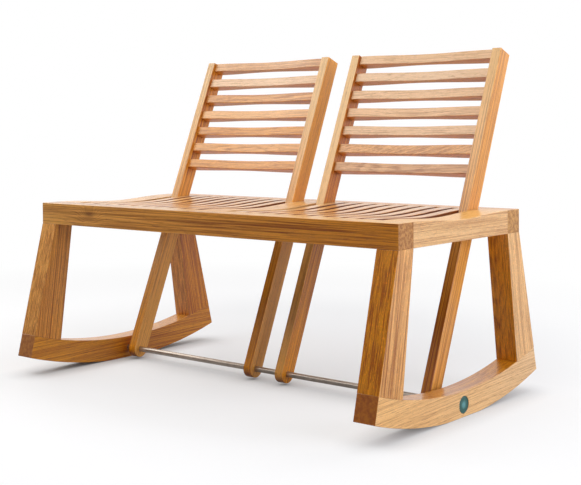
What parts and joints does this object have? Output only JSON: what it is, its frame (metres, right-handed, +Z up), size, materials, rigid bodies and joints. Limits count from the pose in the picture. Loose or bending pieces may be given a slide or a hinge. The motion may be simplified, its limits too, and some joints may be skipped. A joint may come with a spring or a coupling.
{
  "type": "rocking bench",
  "caption": "Wide slatted oak rocking bench on curved rockers, with separate slatted backs that tip over on a steel rod to face front or rear.",
  "frame": {"origin": "on the floor, under the middle of the box around the whole bench", "axes": "+X along the seat to the right as one stands in front of it, +Y from the front to the rear, where the backs lean, +Z up"},
  "size_m": [1.15, 0.6864, 0.8351],
  "materials": {
    "oak": "satin oiled oak",
    "steel": "brushed",
    "teal": "satin"
  },
  "bodies": {
    "frame": {"front_rail": "oak", "rear_rail": "oak", "left_rail": "oak", "centre_rail": "oak", "right_rail": "oak", "seat_slat_left_1": "oak", "seat_slat_left_2": "oak", "seat_slat_left_3": "oak", "seat_slat_left_4": "oak", "seat_slat_left_5": "oak", "seat_slat_left_6": "oak", "seat_slat_left_7": "oak", "seat_slat_left_8": "oak", "seat_slat_left_9": "oak", "seat_slat_right_1": "oak", "seat_slat_right_2": "oak", "seat_slat_right_3": "oak", "seat_slat_right_4": "oak", "seat_slat_right_5": "oak", "seat_slat_right_6": "oak", "seat_slat_right_7": "oak", "seat_slat_right_8": "oak", "seat_slat_right_9": "oak", "leg_front_left": "oak", "leg_front_right": "oak", "leg_rear_left": "oak", "leg_rear_right": "oak", "rocker_left": "oak", "rocker_right": "oak", "pivot_rod": "steel", "rod_washer_left": "steel", "rod_washer_right": "steel", "rod_nut_left": "steel", "rod_nut_right": "steel", "cap_left": "teal", "cap_right": "teal"},
    "back_left": {"back_left_stile_inner": "oak", "back_left_stile_outer": "oak", "back_left_slat_1": "oak", "back_left_slat_2": "oak", "back_left_slat_3": "oak", "back_left_slat_4": "oak", "back_left_slat_5": "oak", "back_left_slat_6": "oak", "back_left_slat_7": "oak"},
    "back_right": {"back_right_stile_inner": "oak", "back_right_stile_outer": "oak", "back_right_slat_1": "oak", "back_right_slat_2": "oak", "back_right_slat_3": "oak", "back_right_slat_4": "oak", "back_right_slat_5": "oak", "back_right_slat_6": "oak", "back_right_slat_7": "oak"}
  },
  "joints": [
    {"name": "back_left_tip", "type": "hinge", "parent": "frame", "child": "back_left", "pos_m": [-0.26825, -0.0062, 0.027], "axis": [1, 0, 0], "range_deg": [0, 44.7]},
    {"name": "back_right_tip", "type": "hinge", "parent": "frame", "child": "back_right", "pos_m": [0.26825, -0.0062, 0.027], "axis": [1, 0, 0], "range_deg": [0, 44.7]}
  ]
}
